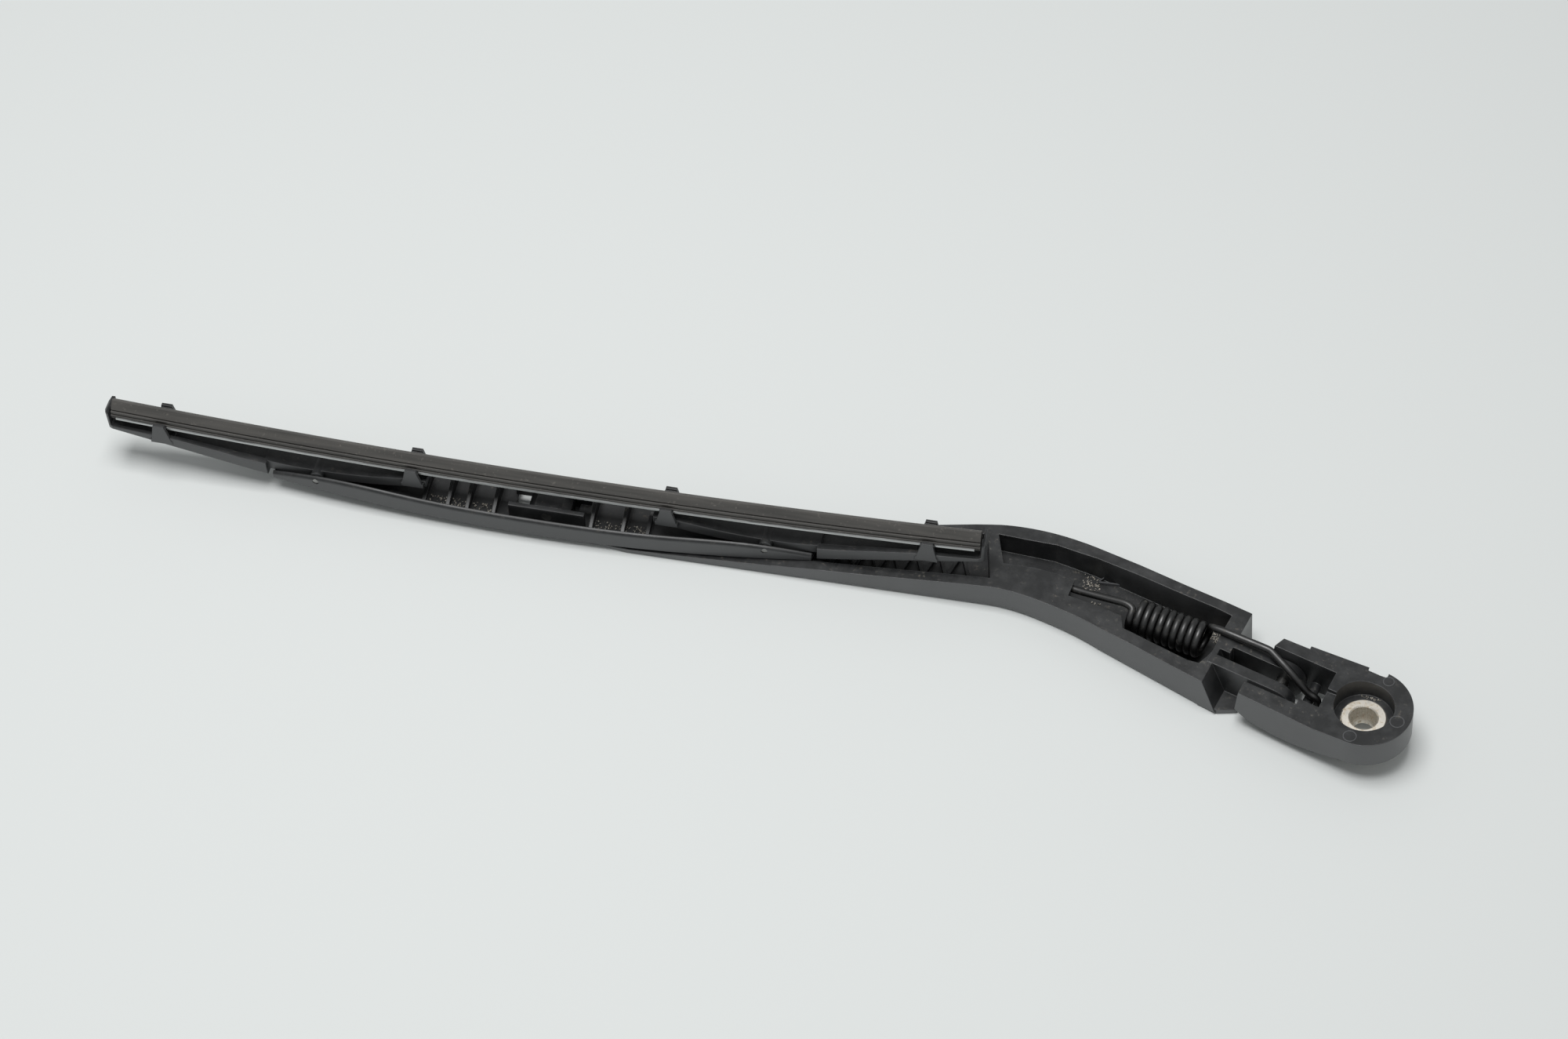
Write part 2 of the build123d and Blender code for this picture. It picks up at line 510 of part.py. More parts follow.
# Frame: boat-shaped shell with cross ribs and two cheeks for the blade's pin
half_window = LUG_HALF + SIDE_PLAY
with BuildPart() as blade_frame:
    with BuildSketch(blade_level(0)):
        with BuildLine():
            ThreePointArc((-FRAME_HALF, -FRAME_TIP_WIDTH), (0, -FRAME_MID_WIDTH), (FRAME_HALF, -FRAME_TIP_WIDTH))
            Line((FRAME_HALF, -FRAME_TIP_WIDTH), (FRAME_HALF, FRAME_TIP_WIDTH))
            ThreePointArc((FRAME_HALF, FRAME_TIP_WIDTH), (0, FRAME_MID_WIDTH), (-FRAME_HALF, FRAME_TIP_WIDTH))
            Line((-FRAME_HALF, FRAME_TIP_WIDTH), (-FRAME_HALF, -FRAME_TIP_WIDTH))
        make_face()
    extrude(amount=30)
    with BuildSketch(blade_side()):
        with BuildLine():
            ThreePointArc((-FRAME_HALF, FRAME_TIP_BOTTOM), (0, FRAME_MID_BOTTOM), (FRAME_HALF, FRAME_TIP_BOTTOM))
            Line((FRAME_HALF, FRAME_TIP_BOTTOM), FRAME_TOP[0])
            Spline(*FRAME_TOP, *[(-u, h) for u, h in reversed(FRAME_TOP[:-1])])
            Line((-FRAME_TOP[0][0], FRAME_TOP[0][1]), (-FRAME_HALF, FRAME_TIP_BOTTOM))
        make_face()
    extrude(amount=30, both=True, mode=Mode.INTERSECT)
    fillet(blade_frame.edges().group_by(SortBy.LENGTH)[-1].sort_by(Axis.Z)[:2], radius=FRAME_EDGE_RADIUS)
    with BuildSketch(blade_side()):
        with BuildLine():
            ThreePointArc(
                (-FRAME_HALF - 1, FRAME_TIP_BOTTOM + FRAME_SKIN), (0, FRAME_MID_BOTTOM + FRAME_SKIN),
                (FRAME_HALF + 1, FRAME_TIP_BOTTOM + FRAME_SKIN),
            )
            Polyline(
                (FRAME_HALF + 1, FRAME_TIP_BOTTOM + FRAME_SKIN), (FRAME_HALF + 1, 30), (-FRAME_HALF - 1, 30),
                (-FRAME_HALF - 1, FRAME_TIP_BOTTOM + FRAME_SKIN),
            )
        make_face()
    hollow = extrude(amount=30, both=True, mode=Mode.PRIVATE)
    with BuildSketch(blade_level(0)):
        with BuildLine():
            inside_tip = FRAME_TIP_WIDTH - FRAME_WALL
            inside_mid = FRAME_MID_WIDTH - FRAME_WALL
            ThreePointArc((-FRAME_HALF - 1, -inside_tip), (0, -inside_mid), (FRAME_HALF + 1, -inside_tip))
            Line((FRAME_HALF + 1, -inside_tip), (FRAME_HALF + 1, inside_tip))
            ThreePointArc((FRAME_HALF + 1, inside_tip), (0, inside_mid), (-FRAME_HALF - 1, inside_tip))
            Line((-FRAME_HALF - 1, inside_tip), (-FRAME_HALF - 1, -inside_tip))
        make_face()
    inside = extrude(amount=30, mode=Mode.PRIVATE)
    add(hollow & inside, mode=Mode.SUBTRACT)
    for rib in FRAME_RIBS:
        rib_half = FRAME_MID_WIDTH - (FRAME_MID_WIDTH - FRAME_TIP_WIDTH) * (rib / FRAME_HALF) ** 2 - 1.0
        rib_low = frame_bottom(rib) + 0.5
        rib_top = FRAME_RIB_TIP if abs(rib) > FRAME_RIBS_LOW else FRAME_RIB_TOP
        with BuildSketch(blade_cut(rib)):
            Polygon(
                (-rib_half, rib_low), (rib_half, rib_low), (rib_half, rib_top), (rib_half / 3, rib_top),
                (-rib_half, rib_low + FRAME_RIB_NEAR),
                align=None,
            )
        extrude(amount=FRAME_RIB / 2, both=True)
    for side in (1, -1):
        with BuildSketch(blade_side(side * (half_window + PIVOT_CHEEK / 2))):
            with Locations((PIVOT_U, 8.6)):
                Rectangle(2 * WINDOW_ROOM + LUG_FRONT - LUG_BACK + 10, 9.4)
        extrude(amount=PIVOT_CHEEK / 2, both=True)
    # Window for the lug and for the tongue's tip
    with BuildSketch(blade_level(0)):
        with Locations((PIVOT_U + (LUG_FRONT + LUG_BACK) / 2, 0)):
            Rectangle(LUG_FRONT - LUG_BACK + 2 * WINDOW_ROOM, 2 * half_window)
        with Locations((PIVOT_U + LUG_BACK, 0)):
            Rectangle(TONGUE_WINDOW, 2 * (TONGUE_TIP_HALF + 2 * SIDE_PLAY))
    extrude(amount=FRAME_MID_BOTTOM + FRAME_SKIN + 0.4, mode=Mode.SUBTRACT)
    # Holes for the three pins
    with BuildSketch(blade_side(half_window + PIVOT_CHEEK)):
        with Locations((PIVOT_U, PIVOT_H)):
            Circle(BLADE_PIN_RADIUS)
    extrude(amount=2 * (half_window + PIVOT_CHEEK), mode=Mode.SUBTRACT)
    with BuildSketch(blade_side(20)):
        with Locations((-YOKE_PIN_U, YOKE_PIN_H), (YOKE_PIN_U, YOKE_PIN_H)):
            Circle(YOKE_PIN_RADIUS)
    extrude(amount=40, mode=Mode.SUBTRACT)
blade_frame.part.label = "blade_frame"

# Cross pin of the blade
with BuildPart() as blade_pin:
    with BuildSketch(blade_side(half_window + PIVOT_CHEEK)):
        with Locations((PIVOT_U, PIVOT_H)):
            Circle(BLADE_PIN_RADIUS)
    extrude(amount=2 * (half_window + PIVOT_CHEEK))
blade_pin.part.label = "blade_pin"

# Cross pins of the two yokes
pin_fall = (FRAME_MID_WIDTH - FRAME_TIP_WIDTH) * (YOKE_PIN_U / FRAME_HALF) ** 2
yoke_pin_half = FRAME_MID_WIDTH - pin_fall - 0.3
with BuildPart() as yoke_pins:
    with BuildSketch(blade_side(yoke_pin_half)):
        with Locations((-YOKE_PIN_U, YOKE_PIN_H), (YOKE_PIN_U, YOKE_PIN_H)):
            Circle(YOKE_PIN_RADIUS)
    extrude(amount=2 * yoke_pin_half)
yoke_pins.part.label = "yoke_pins"

# Outer yoke: tray with the nose, waist in the frame, and a pair of claws at each end
shoulder = -FRAME_HALF - SHOULDER_GAP
nose_rail = rail_height(NOSE_U)
yoke_boss_half = FRAME_MID_WIDTH - pin_fall - FRAME_WALL - SIDE_PLAY
with BuildPart() as outer_yoke:
    with BuildSketch(blade_level(0)):
        Polygon(
            (-NOSE_U + 3.0, -NOSE_HALF), (-YOKE_BEND_U, -SHOULDER_HALF), (shoulder, -SHOULDER_HALF),
            (shoulder, SHOULDER_HALF), (-YOKE_BEND_U, SHOULDER_HALF), (-NOSE_U + 3.0, NOSE_HALF),
            (-NOSE_U + 0.9, 4.2), (-NOSE_U, 2.2), (-NOSE_U, -2.2), (-NOSE_U + 0.9, -4.2),
            align=None,
        )
    extrude(amount=40)
    with BuildSketch(blade_side()):
        Polygon(
            (-NOSE_U - 1, NOSE_BOTTOM), (shoulder, SHOULDER_BOTTOM), (shoulder, SHOULDER_TOP), *YOKE_TOP_OUT,
            (-NOSE_WALL_U, rail_height(NOSE_WALL_U) - NOSE_WALL_DROP),
            (-NOSE_U + NOSE_WALL, nose_rail - NOSE_WALL_DROP), (-NOSE_U + NOSE_WALL, nose_rail + NOSE_RISE - 0.6),
            (-NOSE_U + 1.0, nose_rail + NOSE_RISE), (-NOSE_U - 1, nose_rail + NOSE_RISE - 2.0),
            align=None,
        )
    extrude(amount=30, both=True, mode=Mode.INTERSECT)
    yoke_under = outer_yoke.faces().filter_by(lambda face: face.normal_at().Z < -0.9)[0]
    fillet(yoke_under.edges().filter_by(lambda edge: abs((edge % 0.5).X) > 0.9), radius=YOKE_EDGE_RADIUS)
    with BuildSketch(blade_side()):
        Polygon(
            (-NOSE_U + NOSE_WALL + 0.4, nose_rail - NOSE_WALL_DROP),
            *[(u, h - YOKE_FLOOR_DROP) for u, h in reversed(YOKE_TOP_OUT)],
            (shoulder + 1, SHOULDER_TOP - YOKE_FLOOR_DROP), (shoulder + 1, 40), (-NOSE_U + NOSE_WALL + 0.4, 40),
            align=None,
        )
    extrude(amount=NOSE_HALF - YOKE_WALL + 0.3, both=True, mode=Mode.SUBTRACT)
    # Waist between the frame's walls
    with BuildSketch(blade_side()):
        with BuildLine():
            Spline((shoulder - 1, YOKE_UNDER_ROOT), *YOKE_UNDER)
            Line(YOKE_UNDER[-1], YOKE_TOP_IN[0])
            Spline(*YOKE_TOP_IN, (shoulder - 1, SHOULDER_TOP))
            Line((shoulder - 1, SHOULDER_TOP), (shoulder - 1, YOKE_UNDER_ROOT))
        make_face()
    extrude(amount=YOKE_IN_HALF, both=True)
    # Bosses that meet the frame's walls at the pin
    with BuildSketch(blade_side(yoke_boss_half)):
        with Locations((-YOKE_PIN_U, YOKE_PIN_H + 0.6)):
            Circle(2.6)
    extrude(amount=2 * yoke_boss_half)
    with BuildSketch(blade_side(20)):
        with Locations((-YOKE_PIN_U, YOKE_PIN_H)):
            Circle(YOKE_PIN_RADIUS + PIN_PLAY)
    extrude(amount=40, mode=Mode.SUBTRACT)
    # Claws: upright tabs whose tops hook in over the rails
    for claw in CLAW_AT:
        rail = rail_height(claw)
        low = 14.2 if claw < FRAME_HALF else 17.6
        for side in (1, -1):
            start = CLAW_OUT if side > 0 else -CLAW_OUT + CLAW_WALL
            with BuildSketch(blade_side(start)):
                Polygon(
                    (-claw - CLAW_BASE / 2, low), (-claw + CLAW_BASE / 2, low),
                    (-claw + CLAW_TIP / 2, rail + CLAW_RISE), (-claw - CLAW_TIP / 2, rail + CLAW_RISE),
                    align=None,
                )
            extrude(amount=CLAW_WALL)
            hook_start = CLAW_OUT - CLAW_WALL + 0.2 if side > 0 else -CLAW_HOOK_IN
            with BuildSketch(blade_side(hook_start)):
                Polygon(
                    (-claw - CLAW_TIP / 2 - 0.6, rail + CLAW_HOOK_LOW),
                    (-claw + CLAW_TIP / 2 + 0.6, rail + CLAW_HOOK_LOW),
                    (-claw + CLAW_TIP / 2, rail + CLAW_HOOK_HIGH),
                    (-claw - CLAW_TIP / 2, rail + CLAW_HOOK_HIGH),
                    align=None,
                )
            extrude(amount=CLAW_OUT - CLAW_WALL + 0.2 - CLAW_HOOK_IN)
        with BuildSketch(blade_side()):
            with Locations((-claw, low + 0.9)):
                Rectangle(CLAW_BASE, 1.8)
        extrude(amount=CLAW_OUT, both=True)
outer_yoke.part.label = "outer_yoke"

# Inner yoke: the mirror twin
with BuildPart() as inner_yoke:
    add(mirror(outer_yoke.part, about=Plane.YZ.offset(BASE.X + BLADE_MID), mode=Mode.PRIVATE))
inner_yoke.part.label = "inner_yoke"

# Rubber and rails follow the bow about an axis high above the blade
bow_axis = Axis(BASE + Vector(BLADE_MID, BLADE_Y, RAIL_H + BOW_RADIUS), (0, 1, 0))
rubber_arc = degrees(RUBBER_HALF / BOW_RADIUS)
rail_arc = degrees(RAIL_HALF / BOW_RADIUS)
section = Plane(origin=BASE + Vector(BLADE_MID, BLADE_Y, RAIL_H), x_dir=(0, 1, 0), z_dir=(1, 0, 0))
slot = RAIL_THICK / 2
HALF_SECTION = [
    (0, -1.5), (3.0, -1.5), (3.4, -1.1), (3.4, -slot), (RAIL_IN, -slot), (RAIL_IN, slot), (3.9, slot),
    (3.9, 1.1), (2.4, 1.3), (2.4, 1.6), (3.5, 1.75), (3.5, 2.8), (0.9, 3.0), (0.9, 3.4), (2.9, 3.55), (1.1, 5.7),
    (0.45, LIP_HEIGHT), (0, LIP_HEIGHT),
]
with BuildPart() as squeegee:
    with BuildSketch(section):
        Polygon(*HALF_SECTION, align=None)
        mirror(about=Plane.YZ)
    revolve(axis=bow_axis, revolution_arc=rubber_arc)
    with BuildSketch(section):
        Polygon(*HALF_SECTION, align=None)
        mirror(about=Plane.YZ)
    revolve(axis=bow_axis, revolution_arc=-rubber_arc)
squeegee.part.label = "squeegee"


def rail(side):
    """One steel strip, bent with the bow."""
    with BuildPart() as strip:
        for arc in (rail_arc, -rail_arc):
            with BuildSketch(section):
                with Locations((side * (RAIL_OUT + RAIL_IN) / 2, 0)):
                    Rectangle(RAIL_OUT - RAIL_IN, RAIL_THICK)
            revolve(axis=bow_axis, revolution_arc=arc)
    return strip.part


rail_near = rail(-1)
rail_near.label = "rail_near"
rail_far = rail(1)
rail_far.label = "rail_far"

os.makedirs("parts", exist_ok=True)
pieces = [
    head.part, spindle_bush.part, hinge_pin.part, arm.part, tension_spring.part, blade_frame.part, blade_pin.part,
    yoke_pins.part, outer_yoke.part, inner_yoke.part, squeegee.part, rail_near, rail_far,
]
for piece in pieces:
    export_step(piece, f"parts/{piece.label}.step")
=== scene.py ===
import math

import bmesh
import bpy
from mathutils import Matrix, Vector


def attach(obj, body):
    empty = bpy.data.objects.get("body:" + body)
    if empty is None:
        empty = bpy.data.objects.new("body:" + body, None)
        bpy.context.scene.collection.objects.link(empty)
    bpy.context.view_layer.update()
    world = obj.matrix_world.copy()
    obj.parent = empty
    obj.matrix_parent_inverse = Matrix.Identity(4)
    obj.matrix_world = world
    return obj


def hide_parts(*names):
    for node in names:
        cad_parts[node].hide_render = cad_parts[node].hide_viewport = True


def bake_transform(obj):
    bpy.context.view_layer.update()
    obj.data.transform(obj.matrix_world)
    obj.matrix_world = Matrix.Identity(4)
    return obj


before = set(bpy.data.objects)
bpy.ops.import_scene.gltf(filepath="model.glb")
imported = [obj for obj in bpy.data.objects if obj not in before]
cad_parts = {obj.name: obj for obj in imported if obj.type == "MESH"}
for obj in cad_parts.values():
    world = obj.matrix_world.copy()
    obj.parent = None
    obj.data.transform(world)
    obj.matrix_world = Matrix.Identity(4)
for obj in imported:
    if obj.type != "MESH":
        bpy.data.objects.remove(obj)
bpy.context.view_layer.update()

# Sizes are in millimetres, measured from the middle of the boss's open face and up from the resting plane
MM = 0.001
HEAD_TURN = math.radians(-18.6)
BOSS_LEAN = math.radians(8.0)
BOSS_FACE = 15.9
REST = -5.25
ALONG = Vector((math.cos(HEAD_TURN), math.sin(HEAD_TURN), 0))
ACROSS = Vector((-ALONG.y, ALONG.x, 0))
UP = Vector((0, 0, 1))
SPINDLE = UP * math.cos(BOSS_LEAN) - ALONG * math.sin(BOSS_LEAN)
SLOPE = UP * math.sin(BOSS_LEAN) + ALONG * math.cos(BOSS_LEAN)
BASE = Vector((SPINDLE.x * BOSS_FACE, SPINDLE.y * BOSS_FACE, REST))


def plan(x, y, h):
    """Point over the plan, in metres."""
    return (BASE + Vector((x, y, h))) * MM


def head_point(s, t, h):
    """Point along and across the head, in metres."""
    return (BASE + ALONG * s + ACROSS * t + UP * h) * MM


def boss_point(a, b, d):
    """Point on the boss: up its slope, across it and along the spindle from the nut's seat, in metres."""
    return (SLOPE * a + ACROSS * b + SPINDLE * d) * MM


def srgb(text):
    """Linear colour from an sRGB hex value."""
    parts = [int(text[i:i + 2], 16) / 255 for i in (1, 3, 5)]
    linear = [p / 12.92 if p <= 0.04045 else ((p + 0.055) / 1.055) ** 2.4 for p in parts]
    return (*linear, 1.0)


def per_mm(size):
    """Texture scale, in metres, for features of this size in millimetres."""
    return 1.0 / (size * MM)


NOISE = "ShaderNodeTexNoise"
RANGE = "ShaderNodeMapRange"
MIX = "ShaderNodeMix"
MATH = "ShaderNodeMath"
PRINCIPLED = "ShaderNodeBsdfPrincipled"


def add(tree, kind, inputs=None, **settings):
    """Adds one node with its settings; inputs are values, or sockets to link."""
    node = tree.nodes.new(kind)
    for name, value in settings.items():
        setattr(node, name, value)
    for name, value in (inputs or {}).items():
        if isinstance(value, bpy.types.NodeSocket):
            tree.links.new(value, node.inputs[name])
        else:
            node.inputs[name].default_value = value
    return node


def new_material(name):
    """Empty node material and its tree."""
    material = bpy.data.materials.new(name)
    material.use_nodes = True
    material.node_tree.nodes.clear()
    return material, material.node_tree


def moulded_plastic(name, fresh, faded_and_lit, dust, gloss, dust_amount):
    """Glass-filled black plastic with paler random patches and dust; painted light greys its open side faces,
    painted shade keeps faces in hollows dark, and a painted highlight, also standing for rubbed wear,
    lightens its edges.
    """
    material, tree = new_material(name)
    place = add(tree, "ShaderNodeTexCoord").outputs["Object"]
    normal = add(tree, "ShaderNodeNewGeometry").outputs["Normal"]
    up = add(tree, "ShaderNodeSeparateXYZ", {0: normal}).outputs["Z"]
    clouds = add(tree, NOISE, {"Vector": place, "Scale": per_mm(22), "Detail": 4.0})
    grain = add(tree, NOISE, {"Vector": place, "Scale": per_mm(0.9), "Detail": 3.0})
    blotches = add(tree, NOISE, {"Vector": place, "Scale": per_mm(7), "Detail": 6.0, "Roughness": 0.62})
    # Painted light and shade: side and under faces that stand open, away from the part's own hollows, turn
    # greyer, while faces in hollows keep the dark colour as painted shade
    opened = add(tree, "ShaderNodeAmbientOcclusion", {"Distance": 22 * MM}, samples=8, only_local=True)
    open_mask = add(tree, RANGE, {"Value": opened.outputs["AO"], 1: 0.62, 2: 0.95, 3: 0.0, 4: 1.0})
    side_mask = add(tree, RANGE, {"Value": up, 1: 0.55, 2: 0.1, 3: 0.0, 4: 1.0})
    painted_sidelight_mask = add(tree, MATH, {0: open_mask.outputs[0], 1: side_mask.outputs[0]}, operation="MULTIPLY")
    patchy = add(tree, RANGE, {"Value": clouds.outputs[0], 1: 0.3, 2: 0.7, 3: 0.78, 4: 1.0})
    painted_sidelight_mask = add(tree, MATH, {0: painted_sidelight_mask.outputs[0], 1: patchy.outputs[0]}, operation="MULTIPLY")
    blotch_mask = add(tree, RANGE, {"Value": blotches.outputs[0], 1: 0.42, 2: 0.75, 3: 0.0, 4: 0.3})
    body = add(tree, MIX, {0: blotch_mask.outputs[0], 6: srgb(fresh), 7: srgb(faded_and_lit)}, data_type="RGBA")
    body = add(tree, MIX, {0: painted_sidelight_mask.outputs[0], 6: body.outputs[2], 7: srgb(faded_and_lit)}, data_type="RGBA")
    # Painted highlight along the edges, also standing for rubbed wear, found where the rounded normal leaves
    # the flat one
    rounded = add(tree, "ShaderNodeBevel", {"Radius": 0.45 * MM}, samples=6)
    bend = add(tree, "ShaderNodeVectorMath", {0: rounded.outputs[0], 1: normal}, operation="DOT_PRODUCT")
    edge_highlight_and_wear_mask = add(tree, RANGE, {"Value": bend.outputs["Value"], 1: 0.985, 2: 0.86, 3: 0.0, 4: 1.3})
    edge_highlight_and_wear_mask = add(tree, MATH, {0: edge_highlight_and_wear_mask.outputs[0], 1: blotches.outputs[0]}, operation="MULTIPLY")
    body = add(tree, MIX, {0: edge_highlight_and_wear_mask.outputs[0], 6: body.outputs[2], 7: srgb(faded_and_lit)}, data_type="RGBA")
    # Dust lying on the upper faces
    specks = add(tree, NOISE, {"Vector": place, "Scale": per_mm(2.0), "Detail": 6.0, "Roughness": 0.7})
    patches = add(tree, NOISE, {"Vector": place, "Scale": per_mm(14), "Detail": 2.0})
    speck_mask = add(tree, RANGE, {"Value": specks.outputs[0], 1: 0.57, 2: 0.7, 3: 0.0, 4: 1.0})
    patch_mask = add(tree, RANGE, {"Value": patches.outputs[0], 1: 0.42, 2: 0.66, 3: 0.0, 4: 1.0})
    up_mask = add(tree, RANGE, {"Value": up, 1: 0.2, 2: 0.9, 3: 0.08, 4: dust_amount})
    lying = add(tree, MATH, {0: speck_mask.outputs[0], 1: patch_mask.outputs[0]}, operation="MULTIPLY")
    lying = add(tree, MATH, {0: lying.outputs[0], 1: up_mask.outputs[0]}, operation="MULTIPLY")
    body = add(tree, MIX, {0: lying.outputs[0], 6: body.outputs[2], 7: srgb(dust)}, data_type="RGBA")
    rough = add(
        tree, RANGE, {"Value": clouds.outputs[0], 1: 0.3, 2: 0.7, 3: gloss - 0.05, 4: gloss + 0.07}
    )
    rough = add(tree, MATH, {0: rough.outputs[0], 1: lying.outputs[0]}, operation="ADD", use_clamp=True)
    bump = add(
        tree, "ShaderNodeBump",
        {"Height": grain.outputs[0], "Strength": 0.10, "Distance": 0.15 * MM, "Normal": rounded.outputs[0]},
    )
    skin = add(
        tree, PRINCIPLED,
        {
            "Base Color": body.outputs[2], "Roughness": rough.outputs[0], "IOR": 1.55,
            "Normal": bump.outputs[0],
        },
    )
    add(tree, "ShaderNodeOutputMaterial", {"Surface": skin.outputs[0]})
    return material


def worn_metal(name, bright, dull, grime, gloss, grime_low, patch):
    """Bare metal: a fine bumped grain, dull patches and grime in random patches."""
    material, tree = new_material(name)
    place = add(tree, "ShaderNodeTexCoord").outputs["Object"]
    clouds = add(tree, NOISE, {"Vector": place, "Scale": per_mm(patch), "Detail": 5.0})
    fine = add(tree, NOISE, {"Vector": place, "Scale": per_mm(0.5), "Detail": 2.0})
    dirt = add(tree, NOISE, {"Vector": place, "Scale": per_mm(patch * 0.5), "Detail": 6.0})
    dirt_mask = add(
        tree, RANGE, {"Value": dirt.outputs[0], 1: grime_low, 2: grime_low + 0.18, 3: 0.0, 4: 0.85}
    )
    base = add(tree, MIX, {0: clouds.outputs[0], 6: srgb(bright), 7: srgb(dull)}, data_type="RGBA")
    colour = add(
        tree, MIX, {0: dirt_mask.outputs[0], 6: base.outputs[2], 7: srgb(grime)}, data_type="RGBA"
    )
    metal = add(tree, MATH, {0: 1.0, 1: dirt_mask.outputs[0]}, operation="SUBTRACT")
    rough = add(
        tree, RANGE, {"Value": clouds.outputs[0], 1: 0.3, 2: 0.7, 3: gloss - 0.08, 4: gloss + 0.1}
    )
    rough = add(tree, MATH, {0: rough.outputs[0], 1: dirt_mask.outputs[0]}, operation="MAXIMUM")
    bump = add(
        tree, "ShaderNodeBump", {"Height": fine.outputs[0], "Strength": 0.12, "Distance": 0.05 * MM}
    )
    skin = add(
        tree, PRINCIPLED,
        {
            "Base Color": colour.outputs[2], "Metallic": metal.outputs[0], "Roughness": rough.outputs[0],
            "Normal": bump.outputs[0],
        },
    )
    add(tree, "ShaderNodeOutputMaterial", {"Surface": skin.outputs[0]})
    return material


def aged_rubber(name, body, bloom, dust):
    """Natural rubber: dull, with a brown-grey bloom in streaks along the blade."""
    material, tree = new_material(name)
    place = add(tree, "ShaderNodeTexCoord").outputs["Object"]
    streak_place = add(tree, "ShaderNodeMapping", {"Vector": place, "Scale": (0.06, 1.0, 1.0)})
    streaks = add(
        tree, NOISE, {"Vector": streak_place.outputs[0], "Scale": per_mm(2.2), "Detail": 5.0}
    )
    specks = add(tree, NOISE, {"Vector": place, "Scale": per_mm(1.4), "Detail": 4.0})
    speck_mask = add(tree, RANGE, {"Value": specks.outputs[0], 1: 0.62, 2: 0.74, 3: 0.0, 4: 0.5})
    bloom_mask = add(tree, RANGE, {"Value": streaks.outputs[0], 1: 0.3, 2: 0.65, 3: 0.15, 4: 1.0})
    base = add(tree, MIX, {0: bloom_mask.outputs[0], 6: srgb(body), 7: srgb(bloom)}, data_type="RGBA")
    colour = add(
        tree, MIX, {0: speck_mask.outputs[0], 6: base.outputs[2], 7: srgb(dust)}, data_type="RGBA"
    )
    bump = add(
        tree, "ShaderNodeBump", {"Height": specks.outputs[0], "Strength": 0.12, "Distance": 0.1 * MM}
    )
    skin = add(
        tree, PRINCIPLED,
        {"Base Color": colour.outputs[2], "Roughness": 0.62, "IOR": 1.52, "Normal": bump.outputs[0]},
    )
    add(tree, "ShaderNodeOutputMaterial", {"Surface": skin.outputs[0]})
    return material


def loose_grit(name, pale, dark):
    """Road sand and dried mud: dull grains of mixed grey and tan."""
    material, tree = new_material(name)
    place = add(tree, "ShaderNodeTexCoord").outputs["Object"]
    mixed = add(tree, NOISE, {"Vector": place, "Scale": per_mm(1.2), "Detail": 2.0})
    spread = add(tree, RANGE, {"Value": mixed.outputs[0], 1: 0.35, 2: 0.65, 3: 0.0, 4: 1.0})
    colour = add(tree, MIX, {0: spread.outputs[0], 6: srgb(dark), 7: srgb(pale)}, data_type="RGBA")
    skin = add(tree, PRINCIPLED, {"Base Color": colour.outputs[2], "Roughness": 0.9})
    add(tree, "ShaderNodeOutputMaterial", {"Surface": skin.outputs[0]})
    return material


# The second colour of each plastic is the paler tone of random patches, and also the painted light on open
# side faces and the painted highlight along edges
arm_plastic = moulded_plastic("glass_filled_polyamide_arm", "#1c1d1e", "#5a5b5c", "#8b8273", 0.36, 0.4)
blade_plastic = moulded_plastic("moulded_polyacetal_blade", "#1d1e1f", "#4c4d4e", "#8d8474", 0.42, 0.4)
rubber = aged_rubber("natural_rubber_lip", "#383735", "#4f4d4a", "#74706a")
rail_steel = worn_metal("rolled_spring_steel_strip", "#c4c6c6", "#a4a6a6", "#6d6a64", 0.34, 0.8, 9.0)
spring_steel = worn_metal("phosphated_spring_wire", "#5c5c5c", "#414141", "#4d4941", 0.44, 0.6, 5.0)
bush_metal = worn_metal("die_cast_zinc_bush", "#f2ede4", "#dcd6ca", "#b5a68d", 0.5, 0.5, 3.0)
pin_steel = worn_metal("turned_steel_pin", "#9a9a98", "#747472", "#5f584e", 0.36, 0.58, 4.0)
# Lighter plastic for the thin ridges and rings: a painted highlight that makes them show as light lines
ridge_highlight_plastic = moulded_plastic("polyamide_ridge_highlight", "#3d3e3f", "#66676a", "#9b9384", 0.5, 0.4)
grit = loose_grit("road_sand", "#bcb7ad", "#77726a")

NODE_FINISH = {
    "head": arm_plastic, "arm": arm_plastic, "blade_frame": blade_plastic, "outer_yoke": blade_plastic,
    "inner_yoke": blade_plastic, "hinge_pin": pin_steel, "blade_pin": pin_steel, "yoke_pins": pin_steel,
    "spindle_bush": bush_metal,
}
for node, finish in NODE_FINISH.items():
    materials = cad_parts[node].data.materials
    materials.clear()
    materials.append(finish)


def show(name, data):
    """Object in the scene, at the origin."""
    shown = bpy.data.objects.new(name, data)
    bpy.context.scene.collection.objects.link(shown)
    return shown


def plain_mesh(name, shown):
    """Plain mesh of what an object shows; the object itself is removed."""
    bpy.context.view_layer.update()
    mesh = bpy.data.meshes.new_from_object(shown.evaluated_get(bpy.context.evaluated_depsgraph_get()))
    mesh.name = name
    bpy.data.objects.remove(shown)
    return mesh


def mesh_piece(name, builder, material):
    """Object whose mesh the builder fills."""
    mesh = bpy.data.meshes.new(name)
    shape = bmesh.new()
    builder(shape)
    bmesh.ops.recalc_face_normals(shape, faces=shape.faces)
    shape.to_mesh(mesh)
    shape.free()
    mesh.materials.append(material)
    return show(name, mesh)


def skin_over(shape, rings):
    """Faces from each ring of corners to the next."""
    for low, high in zip(rings, rings[1:]):
        for i in range(len(low)):
            j = (i + 1) % len(low)
            shape.faces.new((low[i], low[j], high[j], high[i]))


